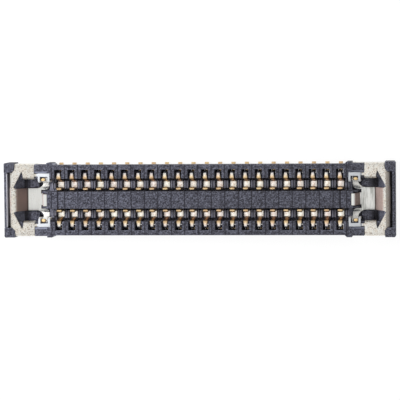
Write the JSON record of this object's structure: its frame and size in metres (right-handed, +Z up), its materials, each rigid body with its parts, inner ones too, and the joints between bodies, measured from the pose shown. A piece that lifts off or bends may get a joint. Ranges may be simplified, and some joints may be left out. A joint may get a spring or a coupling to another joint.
{
  "type": "fine-pitch board to flex cable connector receptacle",
  "caption": "Low two-row surface-mount receptacle for a flex cable plug, with folded metal fittings at both ends.",
  "frame": {"origin": "middle of the footprint, on the board face", "axes": "+X along the contact rows, +Y across them, +Z up from the board to the mating side"},
  "size_m": [0.0102, 0.002, 0.0006],
  "materials": {
    "housing_plastic": "dark grey moulded liquid-crystal polymer, slightly grainy",
    "fitting_metal": "folded sheet with pale champagne plating, faintly mottled",
    "contact_metal": "stamped copper alloy with thin pale gold plating"
  },
  "bodies": {
    "root": {"housing": "housing_plastic", "left_end_fitting": "fitting_metal", "right_end_fitting": "fitting_metal", "contact_a01": "contact_metal", "contact_a02": "contact_metal", "contact_a03": "contact_metal", "contact_a04": "contact_metal", "contact_a05": "contact_metal", "contact_a06": "contact_metal", "contact_a07": "contact_metal", "contact_a08": "contact_metal", "contact_a09": "contact_metal", "contact_a10": "contact_metal", "contact_a11": "contact_metal", "contact_a12": "contact_metal", "contact_a13": "contact_metal", "contact_a14": "contact_metal", "contact_a15": "contact_metal", "contact_a16": "contact_metal", "contact_a17": "contact_metal", "contact_a18": "contact_metal", "contact_a19": "contact_metal", "contact_a20": "contact_metal", "contact_a21": "contact_metal", "contact_a22": "contact_metal", "contact_b01": "contact_metal", "contact_b02": "contact_metal", "contact_b03": "contact_metal", "contact_b04": "contact_metal", "contact_b05": "contact_metal", "contact_b06": "contact_metal", "contact_b07": "contact_metal", "contact_b08": "contact_metal", "contact_b09": "contact_metal", "contact_b10": "contact_metal", "contact_b11": "contact_metal", "contact_b12": "contact_metal", "contact_b13": "contact_metal", "contact_b14": "contact_metal", "contact_b15": "contact_metal", "contact_b16": "contact_metal", "contact_b17": "contact_metal", "contact_b18": "contact_metal", "contact_b19": "contact_metal", "contact_b20": "contact_metal", "contact_b21": "contact_metal", "contact_b22": "contact_metal"}
  },
  "joints": []
}
